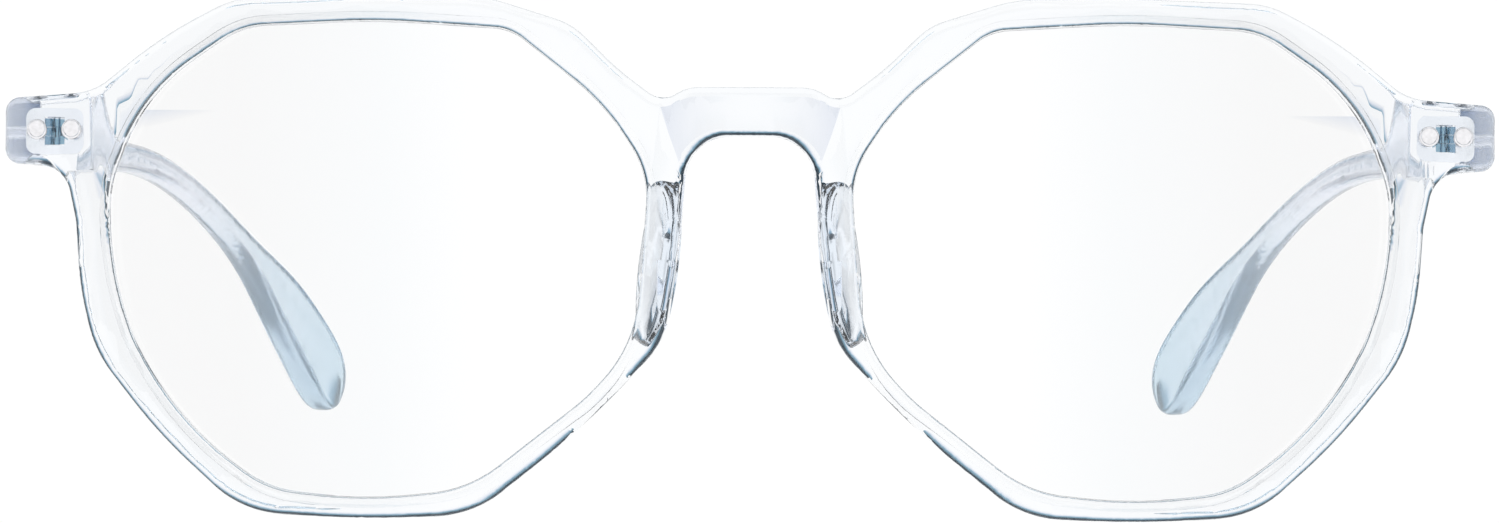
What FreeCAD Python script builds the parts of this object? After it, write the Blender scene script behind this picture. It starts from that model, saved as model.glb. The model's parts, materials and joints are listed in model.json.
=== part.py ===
import FreeCAD, Part
import math
import os

# Clear plastic spectacles with plano blue-light lenses, millimetres.
# They are drawn square to their own front: X across, Y backwards, Z up, lens centres at Z = 0.
# The last step leans the whole assembly back until it stands on both rims and both temple tips.
# "left" and "right" are the wearer's, so left is at +X.

V = FreeCAD.Vector

# ---- front ----
FRONT_RADIUS = 340.0        # sweep of the front face, seen from above
FRONT_THICK = 3.6
LENS_CENTRE = 34.8          # half the distance between the lens centres
EDGE_FRONT = 1.0            # rounding of the outer front edge
EDGE_BACK = 0.7
EDGE_OPENING = 0.5
BRIDGE_RADIUS = 24.0        # the bridge bulges forward of the rims as part of a leaning cylinder
BRIDGE_LEAN = 6.0
BRIDGE_BULGE = 1.28
BRIDGE_LEVEL = 14.0         # where the bulge is measured
BRIDGE_INSET = 0.04         # the bow's edges stay this far inside the outline
BRIDGE_TOP = 15.8
ENDPIECE_BACK = 11.7        # plane the temples close against
BLOCK_START = 61.6          # the hinge block rises behind the endpiece from here
BLOCK_FULL = 61.9
ENDPIECE_TOP = 14.6
ENDPIECE_FOOT = 8.5
HALF_WIDTH = 70.0

# ---- lenses ----
LENS_THICK = 2.0
LENS_SET = 0.8              # lens face behind the rim face
BEVEL = 0.95                # depth of the tongue round the lens
BEVEL_THICK = 1.0
LENS_GAP = 0.04

# ---- hinges ----
HINGE_X = 65.0
HINGE_Y = ENDPIECE_BACK + 1.5
HINGE_Z = 11.55
KNUCKLE_RADIUS = 1.25
KNUCKLE_TALL = 0.76
KNUCKLE_GAP = 0.04
LEAF_THICK = 0.8
LEAF_CORNER = 0.9
FRONT_LEAF = (62.5, 68.0)   # inner and outer end of the plate
FRONT_LEAF_TALL = 4.2
FRONT_WINDOW = (64.3, 66.2) # the barrels are rolled out of this opening in the plate
FRONT_WINDOW_TALL = 2.6
FRONT_NECK = (63.8, 64.7)   # metal that joins the outer barrels to the plate
TEMPLE_LEAF = (2.0, 12.0)   # start and end of the plate behind the hinge pin
TEMPLE_LEAF_TALL = 2.8
TEMPLE_LEAF_PROUD = 0.4
TEMPLE_NECK = (65.4, 66.55) # metal that joins the middle barrel to the temple plate
TEMPLE_NECK_REACH = (0.4, 2.8)
LEAF_GAP = 0.03
PIN_RADIUS = 0.55
PIN_FIT = 0.03
PIN_HEAD_RADIUS = 0.95
PIN_HEAD_TALL = 0.35
SLOT_WIDE = 0.24
SLOT_DEEP = 0.18

# ---- rivets ----
RIVET_RADIUS = 0.5
RIVET_HEAD_RADIUS = 0.95
RIVET_HEAD_TALL = 0.4
RIVET_FIT = 0.02
RIVET_PROUD = 0.06
FRONT_RIVETS = (63.6, 66.9)
TEMPLE_RIVETS = (4.6, 9.4)  # behind the hinge pin

# ---- temples ----
TEMPLE_INNER = 66.6
TEMPLE_START = ENDPIECE_BACK + 0.05
BEND_START = 81.0           # where the ear bend begins, behind the front
BEND_RADIUS = 90.0
BEND_ANGLE = 46.0
TEMPLE_REACH = 141.0        # arc length of the temple
INSET = 19.9                # how far the tip curves in towards the head
INSET_START = 50.0
INSET_FULL = 145.0
TAPER_TOP = 0.85            # share of the taper taken off the top edge
# arc length, height and thickness of the temple section
TEMPLE_SECTIONS = (
    (0.0, 6.1, 3.4),
    (14.0, 6.1, 3.4),
    (32.0, 5.2, 3.3),
    (52.0, 4.0, 3.1),
    (70.0, 3.1, 2.9),
    (95.0, 2.9, 2.8),
    (108.0, 3.3, 2.9),
    (115.0, 4.4, 3.0),
    (122.0, 6.6, 3.2),
    (129.0, 8.0, 3.4),
    (141.0, 8.2, 3.3),
)
TIP_ROUND = 5.0

# ---- nose pads ----
PAD_CENTRE = V(8.45, 7.6, -0.6)
PAD_SPLAY = 16.0            # seen from above
PAD_FLARE = 6.5             # seen from the front
PAD_TALL = 15.6
PAD_DEEP = 9.4
PAD_THICK = 1.7
PAD_SOFT_EDGE = 1.0         # rounding towards the nose
PAD_BACK_EDGE = 0.5
PAD_GAP = 0.02              # between pad and rim
PAD_ROOT = 1.6              # how far the tab runs on inside the pad
TAB_X = 8.15                # the tab that plugs the pad into the rim
TAB_Z = -2.0
TAB_WIDE = 0.8
TAB_TALL = 3.4
TAB_DEEP = 1.2

# ---- standing on a table ----
STAND_TILT = 2.7
STAND_SHIFT = V(0.0, -72.27, 24.7)


def mirrored(shape):
    """The same piece on the other side of the nose."""
    return shape.mirror(V(0, 0, 0), V(1, 0, 0))


def corner_arc(before, corner, after, radius):
    """Start, middle and end of the arc that rounds a corner of a polygon."""
    to_before = (before - corner).normalize()
    to_after = (after - corner).normalize()
    turn = math.pi - to_before.getAngle(to_after)
    reach = radius * math.tan(turn / 2)
    start = corner + to_before * reach
    end = corner + to_after * reach
    inward = (to_before + to_after).normalize()
    middle = corner + inward * (radius / math.cos(turn / 2) - radius)
    return start, middle, end


def rounded_wire(corners):
    """A closed wire in the XZ plane from (x, z, radius) corners, straights joined by tangent arcs."""
    points = [V(x, 0, z) for x, z, radius in corners]
    arcs = []
    for i in range(len(points)):
        after = points[(i + 1) % len(points)]
        arcs.append(corner_arc(points[i - 1], points[i], after, corners[i][2]))
    edges = []
    for i in range(len(arcs)):
        edges.append(Part.Arc(*arcs[i]).toShape())
        straight_end = arcs[(i + 1) % len(arcs)][0]
        if arcs[i][2].distanceToPoint(straight_end) > 0.01:
            edges.append(Part.LineSegment(arcs[i][2], straight_end).toShape())
    return Part.Wire(Part.__sortEdges__(edges))


def prism(wire, y_start, y_end):
    """An XZ outline made solid between two depths."""
    face = Part.Face(wire)
    face.translate(V(0, y_start, 0))
    return face.extrude(V(0, y_end - y_start, 0))


def box(x0, x1, y0, y1, z0, z1):
    """A box between opposite corners."""
    return Part.makeBox(x1 - x0, y1 - y0, z1 - z0, V(x0, y0, z0))


def rod(radius, start, axis, length):
    """A round bar."""
    return Part.makeCylinder(radius, length, start, axis)


def drum(depth):
    """The solid behind the front face, its skin set back by a depth."""
    return rod(FRONT_RADIUS - depth, V(0, FRONT_RADIUS, -60), V(0, 0, 1), 120)


def face_y(x, depth=0.0):
    """Y of the front face, or of a skin behind it, at a distance from the middle."""
    return FRONT_RADIUS - math.sqrt((FRONT_RADIUS - depth) ** 2 - x * x)


def edges_on(shape, test):
    """Edges whose two ends and middle all pass a test."""
    found = []
    for edge in shape.Edges:
        first, last = edge.ParameterRange
        points = [edge.valueAt(first + (last - first) * k) for k in (0.02, 0.5, 0.98)]
        if all(test(point) for point in points):
            found.append(edge)
    return found


# (x from the middle, z, corner radius): half of the front's outline, bridge to nose arch
FRONT_OUTLINE = (
    (5.8, BRIDGE_TOP, 4.0),
    (8.3, 14.4, 2.2),
    (12.3, 17.4, 30.0),
    (16.6, 21.6, 6.5),
    (24.5, 24.1, 14.0),
    (35.0, 24.3, 80.0),
    (48.4, 23.9, 8.0),
    (55.0, 20.5, 40.0),
    (61.6, 15.2, 6.0),
    (HALF_WIDTH, ENDPIECE_TOP, 1.4),
    (HALF_WIDTH, ENDPIECE_FOOT, 1.4),
    (64.3, 8.2, 3.0),
    (63.2, 3.0, 8.0),
    (62.8, -3.0, 24.0),
    (61.4, -9.0, 12.0),
    (55.2, -16.8, 50.0),
    (47.2, -24.0, 10.0),
    (36.0, -24.6, 80.0),
    (25.6, -24.1, 11.0),
    (14.9, -15.6, 80.0),
    (7.7, -7.6, 7.0),
    (6.4, 2.0, 50.0),
    (5.7, 11.2, 4.0),
)

# (x outwards from the lens centre, z, corner radius): an octagon with softly bowed sides
OPENING_OUTLINE = (
    (25.1, -1.2, 30.0),
    (25.1, 6.5, 10.0),
    (21.8, 15.1, 18.0),
    (12.7, 21.3, 8.0),
    (0.0, 21.9, 70.0),
    (-12.5, 21.1, 5.0),
    (-21.1, 14.3, 22.0),
    (-25.4, 7.8, 9.0),
    (-24.9, 0.7, 60.0),
    (-24.2, -8.2, 13.0),
    (-19.6, -13.2, 18.0),
    (-8.8, -21.7, 12.0),
    (1.2, -22.8, 45.0),
    (9.9, -21.8, 10.0),
    (18.3, -16.0, 30.0),
    (22.8, -7.9, 13.0),
)


def opening_wire(grow):
    """The lens opening of the left rim, grown outwards by a margin."""
    wire = rounded_wire([(LENS_CENTRE + x, z, r) for x, z, r in OPENING_OUTLINE])
    if grow:
        wire = wire.makeOffset2D(grow)
    return wire


def front_outline(inset=0.0):
    """The whole outline of the front, or one a little inside it."""
    half = list(FRONT_OUTLINE)
    wire = rounded_wire(half + [(-x, z, r) for x, z, r in reversed(half)])
    if inset:
        wire = wire.makeOffset2D(-inset)
    return wire


def swept_shell():
    """The front as an even thickness, its outer edges rounded on both faces."""
    tube = drum(0).cut(drum(FRONT_THICK))
    shell = prism(front_outline(), -2, 30).common(tube).Solids[0]
    axis = V(0, FRONT_RADIUS, 0)
    middle = FRONT_RADIUS - FRONT_THICK / 2

    def ahead(point):
        return V(point.x, point.y, 0).distanceToPoint(axis)

    shell = shell.makeFillet(EDGE_FRONT, edges_on(shell, lambda p: ahead(p) > middle + 1.7))
    return shell.makeFillet(EDGE_BACK, edges_on(shell, lambda p: ahead(p) < middle - 1.7))


def hinge_block():
    """Thickening behind the left endpiece that the temple closes against."""
    foot = face_y(BLOCK_START, FRONT_THICK) - 1
    plan = [V(BLOCK_START, foot, -60), V(BLOCK_FULL, ENDPIECE_BACK, -60)]
    plan += [V(80, ENDPIECE_BACK, -60), V(80, foot, -60), V(BLOCK_START, foot, -60)]
    block = Part.Face(Part.makePolygon(plan)).extrude(V(0, 0, 120))
    block = block.fuse(box(BLOCK_FULL, 80, 6, foot + 1, -60, 60)).common(drum(EDGE_FRONT + 0.4))
    block = block.common(box(50, 80, 0, 20, ENDPIECE_FOOT - 0.6, 30))
    return prism(front_outline(), -2, 30).common(block)


def bridge_bulge():
    """The forward bow of the bridge, its top and underside rounded."""
    lean = math.radians(BRIDGE_LEAN)
    up = V(0, -math.sin(lean), math.cos(lean))
    foot = V(0, BRIDGE_RADIUS - BRIDGE_BULGE, BRIDGE_LEVEL) - up * 40
    side = 12.0
    low = 2.0
    back = 3.0
    bow = rod(BRIDGE_RADIUS, foot, up, 80).common(box(-side, side, -6, back, low, 24))
    bow = bow.common(prism(front_outline(BRIDGE_INSET), -8, 30)).Solids[0]

    def on_skin(point):
        away = (point - foot).cross(up).Length
        inside = abs(point.x) < side - 0.01 and point.z > low + 0.01 and point.y < back - 0.01
        return away > BRIDGE_RADIUS - 0.01 and inside

    return bow.makeFillet(EDGE_FRONT * 0.8, edges_on(bow, on_skin))


def lens_groove():
    """The groove inside the left rim."""
    skin = LENS_SET + (LENS_THICK - BEVEL_THICK) / 2
    tube = drum(skin - LENS_GAP).cut(drum(skin + BEVEL_THICK + LENS_GAP))
    return prism(opening_wire(BEVEL + LENS_GAP), -2, 30).common(tube)


def left_lens():
    """A swept plano lens with a tongue round its edge."""
    body = drum(LENS_SET).cut(drum(LENS_SET + LENS_THICK))
    lens = prism(opening_wire(-LENS_GAP), -2, 30).common(body)
    skin = LENS_SET + (LENS_THICK - BEVEL_THICK) / 2
    tube = drum(skin).cut(drum(skin + BEVEL_THICK))
    tongue = prism(opening_wire(BEVEL), -2, 30).common(tube)
    return lens.fuse(tongue).removeSplitter().Solids[0]


def pad_tab(grow=0.0):
    """The tab that plugs the left pad into the back of the rim."""
    start = face_y(TAB_X, FRONT_THICK) - TAB_DEEP - grow
    half_wide = TAB_WIDE / 2 + grow
    half_tall = TAB_TALL / 2 + grow
    return box(TAB_X - half_wide, TAB_X + half_wide, start, start + TAB_DEEP + PAD_ROOT,
               TAB_Z - half_tall, TAB_Z + half_tall)


def left_pad():
    """A clear soft pad behind the left rim: an upright oval, well rounded towards the nose."""
    ellipse = Part.Ellipse(V(0, 0, 0), PAD_TALL / 2, PAD_DEEP / 2)
    face = Part.Face(Part.Wire(ellipse.toShape()))
    face.rotate(V(0, 0, 0), V(0, 1, 0), -90)
    pad = face.extrude(V(PAD_THICK, 0, 0))
    pad = pad.makeFillet(PAD_SOFT_EDGE, edges_on(pad, lambda point: abs(point.x) < 0.001))
    pad = pad.makeFillet(PAD_BACK_EDGE, edges_on(pad, lambda point: abs(point.x - PAD_THICK) < 0.001))
    pad.translate(V(-PAD_THICK / 2, 0, 0))
    pad.rotate(V(0, 0, 0), V(0, 0, 1), -PAD_SPLAY)
    pad.rotate(V(0, 0, 0), V(0, 1, 0), -PAD_FLARE)
    pad.translate(PAD_CENTRE)
    return pad.common(drum(FRONT_THICK + PAD_GAP)).fuse(pad_tab()).removeSplitter().Solids[0]


def blend(stops, at):
    """Values eased between stops, each stop an arc length followed by its values."""
    for low, high in zip(stops, stops[1:]):
        if at <= high[0]:
            part = (at - low[0]) / (high[0] - low[0])
            return [a + (b - a) * part for a, b in zip(low[1:], high[1:])]
    return list(stops[-1][1:])


def temple_point(s):
    """Middle of the temple section at an arc length behind the front, before the curve inwards."""
    straight = BEND_START - TEMPLE_START
    angle = min(max(s - straight, 0) / BEND_RADIUS, math.radians(BEND_ANGLE))
    rest = s - angle * BEND_RADIUS
    if s <= straight:
        return V(0, TEMPLE_START + s, HINGE_Z)
    rest = rest - straight
    y = BEND_START + BEND_RADIUS * math.sin(angle) + rest * math.cos(angle)
    z = HINGE_Z - BEND_RADIUS * (1 - math.cos(angle)) - rest * math.sin(angle)
    return V(0, y, z)


def temple_middle(s):
    """Middle of the temple section: the top tapers down, and the tip curves in towards the head."""
    point = temple_point(s)
    tall, thick = blend(TEMPLE_SECTIONS, min(s, 80.0))
    past = max(point.y - INSET_START, 0) / (INSET_FULL - INSET_START)
    x = HALF_WIDTH - thick / 2 - INSET * past * past
    return V(x, point.y, point.z - (TEMPLE_SECTIONS[0][1] - tall) * TAPER_TOP / 2)


def temple_section(s):
    """Closed section across the temple at an arc length."""
    middle = temple_middle(s)
    along = (temple_middle(s + 2.0) - temple_middle(s - 2.0)).normalize()
    if s < 40:
        along = V(0, 1, 0)
    side = along.cross(V(0, 0, 1)).normalize()
    up = side.cross(along)
    tall, thick = blend(TEMPLE_SECTIONS, s)
    left = TEMPLE_REACH - s
    if left < TIP_ROUND:
        shrink = math.sqrt(max(1 - ((TIP_ROUND - left) / TIP_ROUND) ** 2, 0))
        tall = tall * shrink
        thick = thick * (0.45 + 0.55 * shrink)
    radius = min(1.1, thick * 0.36, tall * 0.36)
    corners = []
    for u, v in ((1, 1), (-1, 1), (-1, -1), (1, -1)):
        corners.append(middle + side * (u * thick / 2) + up * (v * tall / 2))
    edges = []
    for k in range(4):
        arc = corner_arc(corners[k - 1], corners[k], corners[(k + 1) % 4], radius)
        edges.append(Part.Arc(*arc).toShape())
        following = corner_arc(corners[k], corners[(k + 1) % 4], corners[(k + 2) % 4], radius)
        edges.append(Part.LineSegment(arc[2], following[0]).toShape())
    return Part.Wire(edges)


def left_temple():
    """The whole temple: straight side, ear bend and paddle tip."""
    stations = [0, 6, 12, 20, 30, 40, 50, 60, 70, 80, 90, 99, 107, 114, 120, 126, 131]
    stations += [TEMPLE_REACH - TIP_ROUND, TEMPLE_REACH - 2.6, TEMPLE_REACH - 1.3, TEMPLE_REACH - 0.4]
    stations += [TEMPLE_REACH - 0.08]
    return Part.makeLoft([temple_section(s) for s in stations], True, False)


def knuckle(level):
    """A hinge barrel: level 1 above the middle one, 0 the middle, -1 below it."""
    z = HINGE_Z + level * (KNUCKLE_TALL + KNUCKLE_GAP) - KNUCKLE_TALL / 2
    return rod(KNUCKLE_RADIUS, V(HINGE_X, HINGE_Y, z), V(0, 0, 1), KNUCKLE_TALL)


def knuckle_neck(level, x0, x1, y0, y1):
    """A block as tall as a barrel that joins it to its plate."""
    z = HINGE_Z + level * (KNUCKLE_TALL + KNUCKLE_GAP)
    return box(x0, x1, y0, y1, z - KNUCKLE_TALL / 2, z + KNUCKLE_TALL / 2)


def rounded_plate(plate, at_corner):
    """A hinge plate with the corners that pass a test rounded."""
    return plate.makeFillet(LEAF_CORNER, edges_on(plate, at_corner))


def front_plate(grow=0.0):
    """The plate let into the back of the left endpiece."""
    x0 = FRONT_LEAF[0] - grow
    x1 = FRONT_LEAF[1] + grow
    half = FRONT_LEAF_TALL / 2 + grow
    y0 = ENDPIECE_BACK - LEAF_THICK - grow
    plate = box(x0, x1, y0, ENDPIECE_BACK + grow, HINGE_Z - half, HINGE_Z + half)

    def at_corner(point):
        at_end = min(point.x - x0, x1 - point.x) < 0.01
        return at_end and abs(abs(point.z - HINGE_Z) - half) < 0.01

    return rounded_plate(plate, at_corner)


def left_front_leaf():
    """Plate and two outer barrels, rolled out of a window in the middle of the plate."""
    half = FRONT_WINDOW_TALL / 2
    leaf = front_plate().cut(box(*FRONT_WINDOW, 0, 30, HINGE_Z - half, HINGE_Z + half))
    plate_front = ENDPIECE_BACK - LEAF_THICK
    for x in FRONT_RIVETS:
        leaf = leaf.cut(rod(RIVET_RADIUS + 0.01, V(x, plate_front, HINGE_Z), V(0, 1, 0), LEAF_THICK))
    for level in (-1, 1):
        leaf = leaf.fuse(knuckle(level))
        leaf = leaf.fuse(knuckle_neck(level, *FRONT_NECK, ENDPIECE_BACK, HINGE_Y))
    leaf = leaf.cut(rod(PIN_RADIUS + 0.01, V(HINGE_X, HINGE_Y, 0), V(0, 0, 1), 30))
    return leaf.removeSplitter()


def temple_plate(grow=0.0):
    """The plate let part way into the inside of the left temple."""
    y0 = HINGE_Y + TEMPLE_LEAF[0] - grow
    y1 = HINGE_Y + TEMPLE_LEAF[1] + grow
    x0 = TEMPLE_INNER - TEMPLE_LEAF_PROUD
    half = TEMPLE_LEAF_TALL / 2 + grow
    plate = box(x0, x0 + LEAF_THICK + grow, y0, y1, HINGE_Z - half, HINGE_Z + half)

    def at_corner(point):
        return abs(point.y - y1) < 0.01 and abs(abs(point.z - HINGE_Z) - half) < 0.01

    return rounded_plate(plate, at_corner)


def left_temple_leaf():
    """Plate and middle barrel."""
    leaf = temple_plate().fuse(knuckle(0))
    y0, y1 = TEMPLE_NECK_REACH
    leaf = leaf.fuse(knuckle_neck(0, *TEMPLE_NECK, HINGE_Y + y0, HINGE_Y + y1))
    leaf = leaf.cut(rod(PIN_RADIUS + PIN_FIT, V(HINGE_X, HINGE_Y, 0), V(0, 0, 1), 30))
    for y in TEMPLE_RIVETS:
        leaf = leaf.cut(rod(RIVET_RADIUS + 0.01, V(50, HINGE_Y + y, HINGE_Z), V(1, 0, 0), 30))
    return leaf.removeSplitter()


def left_screw():
    """Hinge screw: a plain pin with a slotted head on the upper barrel."""
    reach = KNUCKLE_TALL * 1.5 + KNUCKLE_GAP
    screw = rod(PIN_RADIUS, V(HINGE_X, HINGE_Y, HINGE_Z - reach), V(0, 0, 1), 2 * reach)
    head = rod(PIN_HEAD_RADIUS, V(HINGE_X, HINGE_Y, HINGE_Z + reach), V(0, 0, 1), PIN_HEAD_TALL)
    slot_floor = HINGE_Z + reach + PIN_HEAD_TALL - SLOT_DEEP
    half = SLOT_WIDE / 2
    slot = box(HINGE_X - 2, HINGE_X + 2, HINGE_Y - half, HINGE_Y + half, slot_floor, slot_floor + 1)
    return screw.fuse(head).cut(slot).removeSplitter()


def front_rivet(x, grow=0.0):
    """A rivet through the left endpiece, its head level with the front face."""
    seat = face_y(x) + 0.05 + RIVET_HEAD_TALL - grow
    shank = rod(RIVET_RADIUS + grow, V(x, seat - 0.2, HINGE_Z), V(0, 1, 0), ENDPIECE_BACK - seat + 0.2)
    head = rod(RIVET_HEAD_RADIUS + grow, V(x, seat - 3, HINGE_Z), V(0, 1, 0), 3 + 2 * grow)
    if grow:
        return shank.fuse(head)
    head = head.common(drum(-RIVET_PROUD))
    return shank.fuse(head).removeSplitter()


def temple_rivet(y, grow=0.0):
    """A rivet through the left temple, its head level with the outside."""
    inner = TEMPLE_INNER - TEMPLE_LEAF_PROUD
    at = V(inner, HINGE_Y + y, HINGE_Z)
    shank = rod(RIVET_RADIUS + grow, at, V(1, 0, 0), HALF_WIDTH - inner - 0.2)
    seat = V(HALF_WIDTH - RIVET_HEAD_TALL - grow, at.y, HINGE_Z)
    reach = RIVET_HEAD_TALL + grow + (3 if grow else RIVET_PROUD)
    head = rod(RIVET_HEAD_RADIUS + grow, seat, V(1, 0, 0), reach)
    return shank.fuse(head).removeSplitter()


def left_temple_drilled():
    """The temple with the seats of its hinge leaf and rivets."""
    temple = left_temple().cut(temple_plate(LEAF_GAP))
    return temple.cut([temple_rivet(y, RIVET_FIT) for y in TEMPLE_RIVETS])


def front_frame():
    """The clear front: rims, bridge and endpieces in one moulding."""
    block = hinge_block()
    front = swept_shell().fuse([block, mirrored(block), bridge_bulge()]).removeSplitter()
    opening = prism(opening_wire(0), -8, 30)
    front = front.cut([opening, mirrored(opening)]).Solids[0]
    axis = V(0, FRONT_RADIUS, 0)

    def at_mouth(point):
        behind = FRONT_RADIUS - V(point.x, point.y, 0).distanceToPoint(axis)
        on_skin = abs(behind) < 0.01 or abs(behind - FRONT_THICK) < 0.01
        across = math.hypot(abs(point.x) - LENS_CENTRE, point.z)
        return on_skin and across < 25.9 and abs(point.z) < 23.1

    front = front.makeFillet(EDGE_OPENING, edges_on(front, at_mouth))
    seats = [lens_groove(), front_plate(LEAF_GAP), pad_tab(PAD_GAP)]
    seats += [front_rivet(x, RIVET_FIT) for x in FRONT_RIVETS]
    return front.cut(seats + [mirrored(seat) for seat in seats]).Solids[0]


def stood(shape):
    """Lean the assembly back until rims and tips rest on the table, its middle over the origin."""
    placed = shape.copy()
    placed.rotate(V(0, 0, 0), V(1, 0, 0), -STAND_TILT)
    placed.translate(STAND_SHIFT)
    return placed


os.makedirs("parts", exist_ok=True)
pieces = {"front_frame": front_frame()}
left_pieces = {
    "lens": left_lens(),
    "nose_pad": left_pad(),
    "front_hinge_leaf": left_front_leaf(),
    "temple_hinge_leaf": left_temple_leaf(),
    "hinge_screw": left_screw(),
    "front_rivet_inner": front_rivet(FRONT_RIVETS[0]),
    "front_rivet_outer": front_rivet(FRONT_RIVETS[1]),
    "temple_rivet_front": temple_rivet(TEMPLE_RIVETS[0]),
    "temple_rivet_rear": temple_rivet(TEMPLE_RIVETS[1]),
    "temple": left_temple_drilled(),
}
for name, shape in left_pieces.items():
    pieces[name + "_left"] = shape
    pieces[name + "_right"] = mirrored(shape)
for name, shape in pieces.items():
    stood(shape).exportStep("parts/" + name + ".step")
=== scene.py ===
import json
import math

import bmesh
import bpy
from mathutils import Matrix, Quaternion, Vector

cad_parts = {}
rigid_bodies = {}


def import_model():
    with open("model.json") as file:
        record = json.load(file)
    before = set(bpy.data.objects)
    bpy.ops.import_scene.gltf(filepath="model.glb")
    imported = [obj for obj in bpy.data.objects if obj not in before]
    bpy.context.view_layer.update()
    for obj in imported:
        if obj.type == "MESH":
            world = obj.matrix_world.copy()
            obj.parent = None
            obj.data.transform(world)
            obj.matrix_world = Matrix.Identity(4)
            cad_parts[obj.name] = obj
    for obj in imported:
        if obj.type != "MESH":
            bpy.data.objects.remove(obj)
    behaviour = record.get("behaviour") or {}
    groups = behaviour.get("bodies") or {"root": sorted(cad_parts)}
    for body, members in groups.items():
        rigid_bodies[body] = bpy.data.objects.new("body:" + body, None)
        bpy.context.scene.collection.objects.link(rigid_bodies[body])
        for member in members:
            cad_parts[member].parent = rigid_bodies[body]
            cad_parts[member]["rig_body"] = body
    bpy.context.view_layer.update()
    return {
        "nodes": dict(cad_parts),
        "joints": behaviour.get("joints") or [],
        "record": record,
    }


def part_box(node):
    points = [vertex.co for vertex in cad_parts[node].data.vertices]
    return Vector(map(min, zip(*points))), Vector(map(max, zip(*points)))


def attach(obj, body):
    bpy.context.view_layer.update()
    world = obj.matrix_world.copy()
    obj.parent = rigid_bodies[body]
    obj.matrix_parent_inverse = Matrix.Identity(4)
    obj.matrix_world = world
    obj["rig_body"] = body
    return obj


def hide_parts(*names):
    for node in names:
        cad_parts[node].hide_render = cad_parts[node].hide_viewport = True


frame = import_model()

# Clear plastic blue-light glasses standing open on a white studio table, metres.

SIDES = ("left", "right")
nodes = frame["nodes"]
slots = {entry["node"]: entry["material_slot"] for entry in frame["record"]["subparts"]}

# ---- how the glasses stand ----
# the front leans back a little, square to the hinge pins
hinge_pins = {joint["name"]: joint for joint in frame["joints"]}
UP_FRONT = Vector(hinge_pins["temple_left_fold"]["axis"]).normalized()
ACROSS = Vector((1, 0, 0))
INTO = UP_FRONT.cross(ACROSS).normalized()      # from the rims towards the temple tips


# ---- node helpers ----

def chain(tree, kind, **settings):
    """A node with its properties set."""
    node = tree.nodes.new(kind)
    for name, value in settings.items():
        setattr(node, name, value)
    return node


def sums(tree, operation, *terms):
    """One step of arithmetic between sockets or plain numbers."""
    node = chain(tree, "ShaderNodeMath", operation=operation)
    for socket, value in zip(node.inputs, terms):
        if hasattr(value, "links"):
            tree.links.new(value, socket)
        else:
            socket.default_value = value
    return node.outputs[0]


def fresh_material(name):
    """A material with an empty node tree and its output."""
    material = bpy.data.materials.new(name)
    material.use_nodes = True
    material.node_tree.nodes.clear()
    output = material.node_tree.nodes.new("ShaderNodeOutputMaterial")
    return material, material.node_tree, output


def grain(tree, scale, detail, stretch=(1, 1, 1)):
    """Noise fixed to the piece; stretch above 1 packs it tighter along an axis."""
    place = tree.nodes.new("ShaderNodeTexCoord")
    fit = tree.nodes.new("ShaderNodeMapping")
    fit.inputs["Scale"].default_value = stretch
    noise = tree.nodes.new("ShaderNodeTexNoise")
    noise.inputs["Scale"].default_value = scale
    noise.inputs["Detail"].default_value = detail
    tree.links.new(place.outputs["Object"], fit.inputs["Vector"])
    tree.links.new(fit.outputs["Vector"], noise.inputs["Vector"])
    return noise.outputs["Fac"]


def spread(tree, source, low, high, start=0.0, stop=1.0):
    """A value that runs from start to stop, moved into the range from low to high."""
    node = tree.nodes.new("ShaderNodeMapRange")
    for name, value in (("From Min", start), ("From Max", stop), ("To Min", low), ("To Max", high)):
        node.inputs[name].default_value = value
    tree.links.new(source, node.inputs["Value"])
    return node.outputs["Result"]


def axis_place(tree, axis, coordinates="Object"):
    """Position along one axis, in metres for Object."""
    place = tree.nodes.new("ShaderNodeTexCoord")
    split = tree.nodes.new("ShaderNodeSeparateXYZ")
    tree.links.new(place.outputs[coordinates], split.inputs[0])
    return split.outputs[axis]


def from_middle(tree, axis, coordinates="Object"):
    """Distance from the origin along one axis, the same to both sides."""
    return sums(tree, "ABSOLUTE", axis_place(tree, axis, coordinates))


def relief(tree, source, height):
    """A bump whose full depth is a height in metres."""
    node = tree.nodes.new("ShaderNodeBump")
    node.inputs["Strength"].default_value = 1.0
    node.inputs["Distance"].default_value = height
    tree.links.new(source, node.inputs["Height"])
    return node.outputs["Normal"]


def colour_steps(tree, source, steps):
    """A colour ramp from (position, colour) steps."""
    node = tree.nodes.new("ShaderNodeValToRGB")
    ramp = node.color_ramp
    while len(ramp.elements) < len(steps):
        ramp.elements.new(0.5)
    for element, (position, colour) in zip(ramp.elements, steps):
        element.position = position
        element.color = (*colour, 1)
    tree.links.new(source, node.inputs["Fac"])
    return node.outputs["Color"]


# ---- finishes ----
# painted shade: the bow of the bridge is coloured cooler and darker beside its creases
BOW_PAINTED_SHADE = (0.68, 0.72, 0.82)      # where the bow of the bridge turns away from the rims
SHADOW_TINT = (0.96, 0.98, 0.99)
POLISH_GRAIN = 900                  # how fine the polish of the clear pieces varies
ENDS_FROM = 0.0668                  # the slightly frosted outer ends of the endpieces
ENDS_FULL = 0.0686
ENDS_CLEARNESS = 0.8
WORN = 0.86                         # how bright the tooling marks are beside clean metal
MARK_DEPTH = 0.000004
NICKEL = (0.95, 0.96, 0.98)
# painted shade on the hinge barrels
BARREL_PAINTED_SHADE = (0.3, 0.46, 0.56)
# the hinge barrels, where the painted shade goes: from the middle of the glasses sideways and forwards, and
# above the table
BARRELS = {"X": (0.0642, 0.0663), "Y": (0.0566, 0.0604), "Z": (0.0344, 0.0368)}
TEMPLE_FRONT = -0.07
TEMPLE_TIP = 0.073
# painted shade along the temples, deepening towards the tips: shares of the way from the front of the temple
# to its tip
TIP_PAINTED_SHADE = [(0.0, (0.94, 0.95, 1.0)), (0.7, (0.94, 0.95, 0.99)), (0.86, (0.82, 0.89, 0.94)),
            (1.0, (0.68, 0.8, 0.87))]


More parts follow.
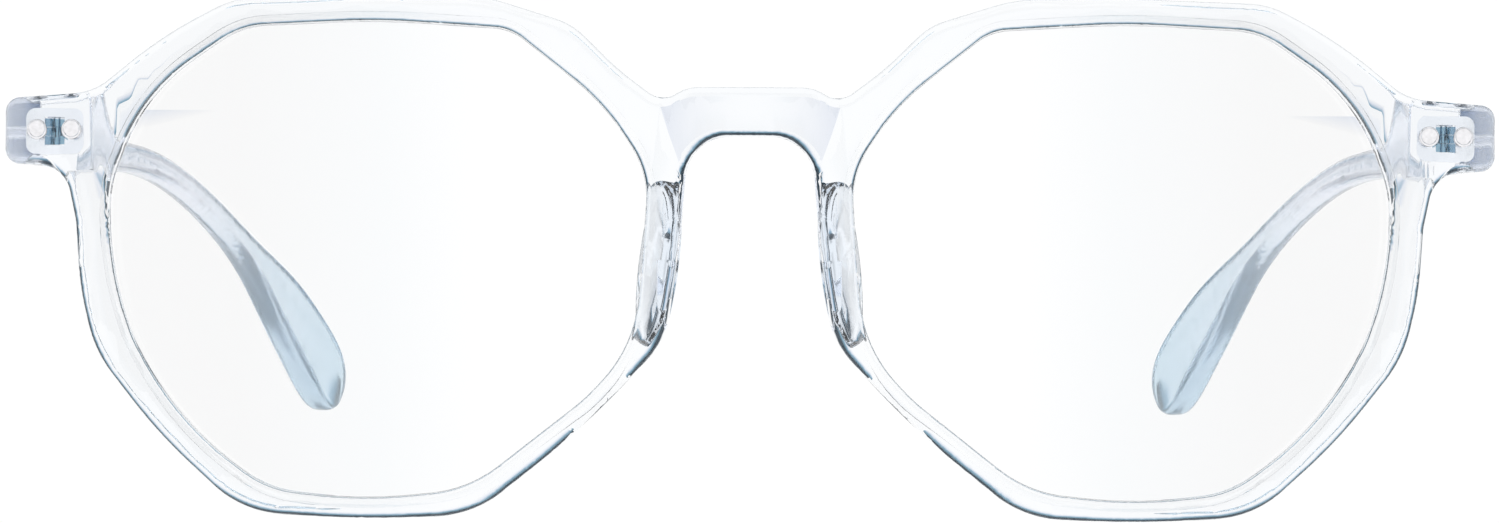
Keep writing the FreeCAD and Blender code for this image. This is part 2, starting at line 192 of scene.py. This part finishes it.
def frame_painted_shade_and_frost(tree, body):
    """Painted cool shade beside the creases of the bow, and slightly frosted outer ends."""
    bow = tree.nodes.new("ShaderNodeAttribute")
    bow.attribute_name = "bow_painted_shade"
    shades = [(0.0, (1, 1, 1)), (1.0, BOW_PAINTED_SHADE)]
    tree.links.new(colour_steps(tree, bow.outputs["Fac"], shades), body.inputs["Base Color"])
    clear = spread(tree, from_middle(tree, "X"), 1.0, ENDS_CLEARNESS, ENDS_FROM, ENDS_FULL)
    tree.links.new(clear, body.inputs["Transmission Weight"])


def hinge_painted_shade(tree, body):
    """Barrels painted darker and bluer than the plates beside them, as painted shade."""
    count = 0.0
    for axis, (low, high) in BARRELS.items():
        inside = sums(tree, "COMPARE", from_middle(tree, axis), (low + high) / 2, (high - low) / 2)
        count = sums(tree, "ADD", inside, count)
    on_barrels = sums(tree, "GREATER_THAN", count, len(BARRELS) - 0.5)
    shades = [(0.0, NICKEL), (1.0, BARREL_PAINTED_SHADE)]
    tree.links.new(colour_steps(tree, on_barrels, shades), body.inputs["Base Color"])


def temple_painted_shade(tree, body):
    """Painted blue shade that deepens towards the temple tips."""
    along = spread(tree, axis_place(tree, "Y"), 0.0, 1.0, TEMPLE_FRONT, TEMPLE_TIP)
    tree.links.new(colour_steps(tree, along, TIP_PAINTED_SHADE), body.inputs["Base Color"])


def clear_plastic(name, ior, rough, tint, density, ripple, ripple_scale,
                  milk=0.0, hue=(1, 1, 1), shine=0.5, shading=None):
    """Transparent plastic: faint moulding ripple, tint that deepens with thickness, a share of milkiness."""
    material, tree, output = fresh_material(name)
    body = tree.nodes.new("ShaderNodeBsdfPrincipled")
    body.inputs["Transmission Weight"].default_value = 1.0 - milk
    body.inputs["IOR"].default_value = ior
    body.inputs["Base Color"].default_value = (*hue, 1)
    body.inputs["Specular IOR Level"].default_value = shine
    # painted shade, where a piece has it, goes into the base colour here
    if shading:
        shading(tree, body)
    polish = grain(tree, POLISH_GRAIN, 3)
    tree.links.new(spread(tree, polish, rough * 0.4, rough * 1.6), body.inputs["Roughness"])
    tree.links.new(relief(tree, grain(tree, ripple_scale, 2), ripple), body.inputs["Normal"])
    depth = tree.nodes.new("ShaderNodeVolumeAbsorption")
    depth.inputs["Color"].default_value = (*tint, 1)
    depth.inputs["Density"].default_value = density
    tree.links.new(depth.outputs["Volume"], output.inputs["Volume"])
    # light passes straight through, so the plastic casts no heavy shadow
    ray = tree.nodes.new("ShaderNodeLightPath")
    through = tree.nodes.new("ShaderNodeBsdfTransparent")
    through.inputs["Color"].default_value = (*SHADOW_TINT, 1)
    choose = tree.nodes.new("ShaderNodeMixShader")
    tree.links.new(ray.outputs["Is Shadow Ray"], choose.inputs[0])
    tree.links.new(body.outputs["BSDF"], choose.inputs[1])
    tree.links.new(through.outputs["BSDF"], choose.inputs[2])
    tree.links.new(choose.outputs["Shader"], output.inputs["Surface"])
    return material


def plated_metal(name, colour, rough, grain_scale, stretch=(1, 1, 1), shading=None):
    """Bright metal with fine tooling marks."""
    material, tree, output = fresh_material(name)
    body = tree.nodes.new("ShaderNodeBsdfPrincipled")
    body.inputs["Metallic"].default_value = 1.0
    marks = grain(tree, grain_scale, 4, stretch)
    # painted shade, where given, takes the place of the tooling-mark colour
    if shading:
        shading(tree, body)
    else:
        worn = tuple(share * WORN for share in colour)
        tree.links.new(colour_steps(tree, marks, [(0.3, worn), (0.7, colour)]), body.inputs["Base Color"])
    tree.links.new(spread(tree, marks, rough * 0.7, rough * 1.3), body.inputs["Roughness"])
    tree.links.new(relief(tree, marks, MARK_DEPTH), body.inputs["Normal"])
    tree.links.new(body.outputs["BSDF"], output.inputs["Surface"])
    return material


CRYSTAL = (0.3, 0.52, 0.78)         # what a thick piece of the plastic lets through
LENS_BLUE = (0.5, 0.7, 0.9)
PAD_WHITE = (0.96, 0.98, 1.0)
finishes = {
    "clear_frame": clear_plastic("clear_frame_plastic", ior=1.49, rough=0.01, tint=CRYSTAL, density=16.0,
                                 ripple=0.000004, ripple_scale=120, shading=frame_painted_shade_and_frost),
    "clear_temple": clear_plastic("clear_temple_plastic", ior=1.49, rough=0.14, tint=CRYSTAL, density=22.0,
                                  ripple=0.000006, ripple_scale=150, milk=0.14, shading=temple_painted_shade),
    "lens": clear_plastic("lens_resin", ior=1.5, rough=0.002, tint=LENS_BLUE, density=1.0,
                          ripple=0.0000002, ripple_scale=20, shine=0.2),
    "soft_pad": clear_plastic("pad_silicone", ior=1.36, rough=0.03, tint=CRYSTAL, density=22.0,
                              ripple=0.000004, ripple_scale=400, hue=PAD_WHITE),
    "hinge_metal": plated_metal("nickel_plate", NICKEL, 0.08, 1600, (6, 6, 1), hinge_painted_shade),
    "rivet_metal": plated_metal("rivet_silver", (0.95, 0.94, 0.96), 0.1, 2400),
    "screw_metal": plated_metal("screw_steel", (0.8, 0.82, 0.85), 0.25, 2400),
}


# ---- clear pieces ----
CREASE = math.radians(28)
SAME_POINT = 1e-7
# the bow is part of a leaning cylinder
BOW_RADIUS = 0.024
BOW_LEAN = math.radians(6.0)
BOW_AXIS = 0.02272          # behind the middle of the front, at the bow's own level
BOW_LEVEL = 0.014
BOW_HALF = 0.0078           # from the middle to the creases
BOW_TOLERANCE = 0.00002
PIN_BEHIND = 0.0132         # the hinge pins, from the middle of the front
PIN_ABOVE = 0.01155


def mark_bow_painted_shade(mesh):
    """Marks the skin of the bridge's bow for painted shade, strongest beside the creases and gone in the
    middle.
    """
    pin = Vector(hinge_pins["temple_left_fold"]["pos_m"])
    middle = Vector((0, pin.y, pin.z)) - INTO * PIN_BEHIND - UP_FRONT * PIN_ABOVE
    up = UP_FRONT * math.cos(BOW_LEAN) - INTO * math.sin(BOW_LEAN)
    foot = middle + INTO * BOW_AXIS + UP_FRONT * BOW_LEVEL
    # how much painted shade each corner of the bow gets
    shade_marks = mesh.attributes.new("bow_painted_shade", "FLOAT", "CORNER")
    for face in mesh.polygons:
        reach = [(mesh.vertices[corner].co - foot).cross(up).length for corner in face.vertices]
        on_bow = all(abs(radius - BOW_RADIUS) < BOW_TOLERANCE for radius in reach)
        for corner in face.loop_indices:
            x = abs(mesh.vertices[mesh.loops[corner].vertex_index].co.x)
            shade_marks.data[corner].value = min((x / BOW_HALF) ** 2, 1.0) if on_bow else 0.0


def polished(node):
    """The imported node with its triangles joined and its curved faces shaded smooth."""
    mesh = nodes[node].data.copy()
    mesh.name = node + "_polished"
    shape = bmesh.new()
    shape.from_mesh(mesh)
    bmesh.ops.remove_doubles(shape, verts=shape.verts, dist=SAME_POINT)
    for face in shape.faces:
        face.smooth = True
    for edge in shape.edges:
        if len(edge.link_faces) == 2 and edge.calc_face_angle(0) > CREASE:
            edge.smooth = False
    shape.to_mesh(mesh)
    shape.free()
    # the front frame's bow gets the marks for its painted shade
    if node == "front_frame":
        mark_bow_painted_shade(mesh)
    mesh.materials.clear()
    mesh.materials.append(finishes[slots[node]])
    piece = bpy.data.objects.new(node + "_polished", mesh)
    bpy.context.scene.collection.objects.link(piece)
    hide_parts(node)
    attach(piece, nodes[node]["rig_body"])


# ---- rivets ----
HEAD_RADIUS = 0.00095
HEAD_TALL = 0.0004
SHANK_RADIUS = 0.0005
HEAD_STEPS_ROUND = 64
HEAD_STEPS_OUT = 40
SHANK_SIDES = 32
# along the head's skin from its middle to its underside: radius and height, each as a share
HEAD_RADII = [(0.0, 0.0), (0.3, 0.7), (0.36, 0.75), (0.48, 0.87), (0.56, 0.95), (0.66, 1.0), (0.86, 1.0),
              (1.0, 0.0)]
HEAD_LEVELS = [(0.0, 0.93), (0.3, 0.93), (0.36, 1.0), (0.48, 1.0), (0.56, 0.88), (0.66, 0.55), (0.86, 0.0),
               (1.0, 0.0)]


def profile(tree, share, stops):
    """A straight-sided profile through (share, value) stops."""
    node = tree.nodes.new("ShaderNodeFloatCurve")
    points = node.mapping.curves[0].points
    while len(points) < len(stops):
        points.new(0.5, 0.5)
    for point, stop in zip(points, stops):
        point.location = stop
        point.handle_type = "VECTOR"
    node.mapping.update()
    tree.links.new(share, node.inputs["Value"])
    return node.outputs[0]


def rivet_tree():
    """Turned rivets, one on every seat point, heads up the turned Z axis and shanks behind."""
    tree = bpy.data.node_groups.new("rivets", "GeometryNodeTree")
    face = tree.interface
    face.new_socket("Seats", in_out="INPUT", socket_type="NodeSocketGeometry")
    for name in ("Head radius", "Head height", "Shank radius", "Shank length"):
        face.new_socket(name, in_out="INPUT", socket_type="NodeSocketFloat")
    face.new_socket("Turn", in_out="INPUT", socket_type="NodeSocketVector")
    face.new_socket("Finish", in_out="INPUT", socket_type="NodeSocketMaterial")
    face.new_socket("Rivets", in_out="OUTPUT", socket_type="NodeSocketGeometry")
    given = tree.nodes.new("NodeGroupInput").outputs
    result = tree.nodes.new("NodeGroupOutput")
    link = tree.links.new

    skin = tree.nodes.new("GeometryNodeMeshGrid")
    skin.inputs["Size X"].default_value = 1.0
    skin.inputs["Size Y"].default_value = 1.0
    skin.inputs["Vertices X"].default_value = HEAD_STEPS_ROUND + 1
    skin.inputs["Vertices Y"].default_value = HEAD_STEPS_OUT + 1
    flat = tree.nodes.new("ShaderNodeSeparateXYZ")
    link(tree.nodes.new("GeometryNodeInputPosition").outputs[0], flat.inputs[0])
    angle = sums(tree, "MULTIPLY", sums(tree, "ADD", flat.outputs["X"], 0.5), 2 * math.pi)
    share = sums(tree, "ADD", flat.outputs["Y"], 0.5)
    radius = sums(tree, "MULTIPLY", profile(tree, share, HEAD_RADII), given["Head radius"])
    level = sums(tree, "MULTIPLY", profile(tree, share, HEAD_LEVELS), given["Head height"])
    turned = tree.nodes.new("ShaderNodeCombineXYZ")
    link(sums(tree, "MULTIPLY", radius, sums(tree, "COSINE", angle)), turned.inputs["X"])
    link(sums(tree, "MULTIPLY", radius, sums(tree, "SINE", angle)), turned.inputs["Y"])
    link(level, turned.inputs["Z"])
    head = tree.nodes.new("GeometryNodeSetPosition")
    link(skin.outputs["Mesh"], head.inputs["Geometry"])
    link(turned.outputs[0], head.inputs["Position"])
    closed = tree.nodes.new("GeometryNodeMergeByDistance")
    closed.inputs["Distance"].default_value = SAME_POINT
    link(head.outputs[0], closed.inputs["Geometry"])

    shank = tree.nodes.new("GeometryNodeMeshCylinder")
    shank.inputs["Vertices"].default_value = SHANK_SIDES
    link(given["Shank radius"], shank.inputs["Radius"])
    link(given["Shank length"], shank.inputs["Depth"])
    drop = tree.nodes.new("ShaderNodeCombineXYZ")
    link(sums(tree, "MULTIPLY", given["Shank length"], -0.5), drop.inputs["Z"])
    behind = tree.nodes.new("GeometryNodeTransform")
    link(shank.outputs["Mesh"], behind.inputs["Geometry"])
    link(drop.outputs[0], behind.inputs["Translation"])
    whole = tree.nodes.new("GeometryNodeJoinGeometry")
    link(closed.outputs[0], whole.inputs[0])
    link(behind.outputs[0], whole.inputs[0])

    sharp = chain(tree, "FunctionNodeCompare", data_type="FLOAT", operation="GREATER_THAN")
    link(tree.nodes.new("GeometryNodeInputMeshEdgeAngle").outputs[0], sharp.inputs[0])
    sharp.inputs[1].default_value = CREASE
    smooth = chain(tree, "GeometryNodeSetShadeSmooth", domain="FACE")
    crisp = chain(tree, "GeometryNodeSetShadeSmooth", domain="EDGE")
    crisp.inputs["Shade Smooth"].default_value = False
    link(whole.outputs[0], smooth.inputs["Geometry"])
    link(smooth.outputs[0], crisp.inputs["Geometry"])
    link(sharp.outputs[0], crisp.inputs["Selection"])

    turn = tree.nodes.new("FunctionNodeEulerToRotation")
    link(given["Turn"], turn.inputs[0])
    placed = tree.nodes.new("GeometryNodeInstanceOnPoints")
    link(given["Seats"], placed.inputs["Points"])
    link(crisp.outputs[0], placed.inputs["Instance"])
    link(turn.outputs[0], placed.inputs["Rotation"])
    real = tree.nodes.new("GeometryNodeRealizeInstances")
    link(placed.outputs[0], real.inputs[0])
    finish = tree.nodes.new("GeometryNodeSetMaterial")
    link(real.outputs[0], finish.inputs["Geometry"])
    link(given["Finish"], finish.inputs["Material"])
    link(finish.outputs[0], result.inputs[0])
    return tree


def set_rivets(name, body, rivet_nodes, outward, tree):
    """All the rivets of one body that point the same way, as one mesh."""
    seats = []
    lengths = []
    for node in rivet_nodes:
        corners = [Vector(corner) for corner in nodes[node].bound_box]
        reach = [vertex.co.dot(outward) for vertex in nodes[node].data.vertices]
        middle = sum(corners, Vector()) / len(corners)
        sideways = middle - outward * middle.dot(outward)
        seats.append(sideways + outward * (max(reach) - HEAD_TALL))
        lengths.append(max(reach) - HEAD_TALL - min(reach))
    mesh = bpy.data.meshes.new(name)
    mesh.from_pydata(seats, [], [])
    piece = bpy.data.objects.new(name, mesh)
    bpy.context.scene.collection.objects.link(piece)
    sockets = {item.name: item.identifier for item in tree.interface.items_tree if item.in_out == "INPUT"}
    modifier = piece.modifiers.new("rivets", "NODES")
    modifier.node_group = tree
    settings = {"Head radius": HEAD_RADIUS, "Head height": HEAD_TALL, "Shank radius": SHANK_RADIUS,
                "Shank length": min(lengths), "Finish": finishes["rivet_metal"],
                "Turn": tuple(Vector((0, 0, 1)).rotation_difference(outward).to_euler())}
    for setting, value in settings.items():
        modifier[sockets[setting]] = value
    shown = piece.evaluated_get(bpy.context.evaluated_depsgraph_get())
    made = bpy.data.meshes.new_from_object(shown)
    piece.modifiers.remove(modifier)
    piece.data = made
    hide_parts(*rivet_nodes)
    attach(piece, body)


rivets = rivet_tree()
front_rivets = [node for node in nodes if node.startswith("front_rivet")]
set_rivets("front_rivets", "front", front_rivets, -INTO, rivets)
for side_name, outward in (("left", ACROSS), ("right", -ACROSS)):
    side_rivets = [node for node in nodes if node.startswith("temple_rivet") and node.endswith(side_name)]
    set_rivets("temple_rivets_" + side_name, "temple_" + side_name, side_rivets, outward, rivets)

for node, slot in slots.items():
    if slot in ("clear_frame", "clear_temple", "lens", "soft_pad"):
        polished(node)
    elif slot != "rivet_metal":
        for holder in nodes[node].material_slots:
            holder.material = finishes[slot]


# ---- table, flags and backdrop ----
WHITE = (1.0, 1.0, 1.0)
HAZE = (0.78, 0.82, 0.9)
SLATE = (0.24, 0.42, 0.54)
BLACK = (0.008, 0.03, 0.05)
GLOW = 1.02
TABLE_HALF = 3


def flat_panel(name, corners, material):
    """One flat panel of the set."""
    mesh = bpy.data.meshes.new(name)
    mesh.from_pydata(corners, [], [range(len(corners))])
    mesh.materials.append(material)
    panel = bpy.data.objects.new(name, mesh)
    bpy.context.scene.collection.objects.link(panel)


table_white, tree, output = fresh_material("table_white")
lamp = tree.nodes.new("ShaderNodeEmission")
lamp.inputs["Strength"].default_value = GLOW
tree.links.new(lamp.outputs[0], output.inputs["Surface"])
table_corners = [(x * TABLE_HALF, y * TABLE_HALF, 0) for x, y in ((-1, -1), (1, -1), (1, 1), (-1, 1))]
flat_panel("table_top", table_corners, table_white)

# dark flags lie out of shot on both sides and give the clear edges their lines
FLAG_NEAR = 0.2             # from the middle of the table sideways
FLAG_FAR = 0.5
FLAG_FRONT = 0.1
FLAG_BACK = 1.6
FLAG_LEVEL = 0.001
FLAG_FADE = [(FLAG_NEAR, WHITE), (0.23, HAZE), (0.27, SLATE), (0.32, BLACK), (0.42, BLACK), (FLAG_FAR, WHITE)]
flag_cloth, tree, output = fresh_material("flag_cloth")
away = from_middle(tree, "X")
lamp = tree.nodes.new("ShaderNodeEmission")
tree.links.new(colour_steps(tree, away, FLAG_FADE), lamp.inputs["Color"])
ray = tree.nodes.new("ShaderNodeLightPath")
unseen = tree.nodes.new("ShaderNodeBsdfTransparent")
choose = tree.nodes.new("ShaderNodeMixShader")
tree.links.new(ray.outputs["Is Camera Ray"], choose.inputs[0])
tree.links.new(lamp.outputs[0], choose.inputs[1])
tree.links.new(unseen.outputs[0], choose.inputs[2])
tree.links.new(choose.outputs[0], output.inputs["Surface"])
for side_name, way in (("left", 1), ("right", -1)):
    near, far = way * FLAG_NEAR, way * FLAG_FAR
    outline = [(near, FLAG_FRONT), (far, FLAG_FRONT), (far, FLAG_BACK), (near, FLAG_BACK)]
    flat_panel("flag_" + side_name, [(x, y, FLAG_LEVEL) for x, y in outline], flag_cloth)

# all round, by how far a direction leans sideways or up
BACKDROP_FADE = [(0.14, WHITE), (0.2, HAZE), (0.26, SLATE), (0.36, BLACK), (0.54, BLACK), (0.66, WHITE)]
studio = bpy.data.worlds.new("studio")
bpy.context.scene.world = studio
studio.use_nodes = True
tree = studio.node_tree
tree.nodes.clear()
output = tree.nodes.new("ShaderNodeOutputWorld")
upwards = sums(tree, "MULTIPLY", axis_place(tree, "Z", "Generated"), 0.9)
away = sums(tree, "MAXIMUM", from_middle(tree, "X", "Generated"), upwards)
around = tree.nodes.new("ShaderNodeBackground")
tree.links.new(colour_steps(tree, away, BACKDROP_FADE), around.inputs["Color"])
plain = tree.nodes.new("ShaderNodeBackground")
for background in (around, plain):
    background.inputs["Strength"].default_value = GLOW
plain.inputs["Color"].default_value = (1, 1, 1, 1)
ray = tree.nodes.new("ShaderNodeLightPath")
choose = tree.nodes.new("ShaderNodeMixShader")
tree.links.new(ray.outputs["Is Camera Ray"], choose.inputs[0])
tree.links.new(around.outputs[0], choose.inputs[1])
tree.links.new(plain.outputs[0], choose.inputs[2])
tree.links.new(choose.outputs[0], output.inputs["Surface"])

# ---- camera ----
SENSOR = 0.036
CAMERA_DISTANCE = 0.550     # from the bridge
FRAMED_WIDTH = 0.14049      # what the picture spans at the endpieces
ENDPIECE_DEPTH = 0.007
ROLL = math.radians(0.32)
AIM_UP = 0.0002             # picture centre above the middle of the lens boxes

lens_boxes = [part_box("lens_" + side_name) for side_name in SIDES]
lens_middle = sum((low + high for low, high in lens_boxes), Vector()) / 4
front_low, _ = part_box("front_frame")
bridge_front = Vector((0, front_low.y, lens_middle.z))
optics = bpy.data.cameras.new("camera")
optics.sensor_width = SENSOR * 1000
optics.lens = SENSOR * (CAMERA_DISTANCE + ENDPIECE_DEPTH) / FRAMED_WIDTH * 1000
optics.clip_start = 0.01
optics.clip_end = 20
camera = bpy.data.objects.new("camera", optics)
bpy.context.scene.collection.objects.link(camera)
camera.location = bridge_front + UP_FRONT * AIM_UP - INTO * CAMERA_DISTANCE
square_on = Matrix((ACROSS, UP_FRONT, -INTO)).transposed().to_quaternion()
camera.rotation_mode = "QUATERNION"
camera.rotation_quaternion = square_on @ Quaternion((0, 0, 1), ROLL)
bpy.context.scene.camera = camera
bpy.context.scene.view_settings.view_transform = "Standard"
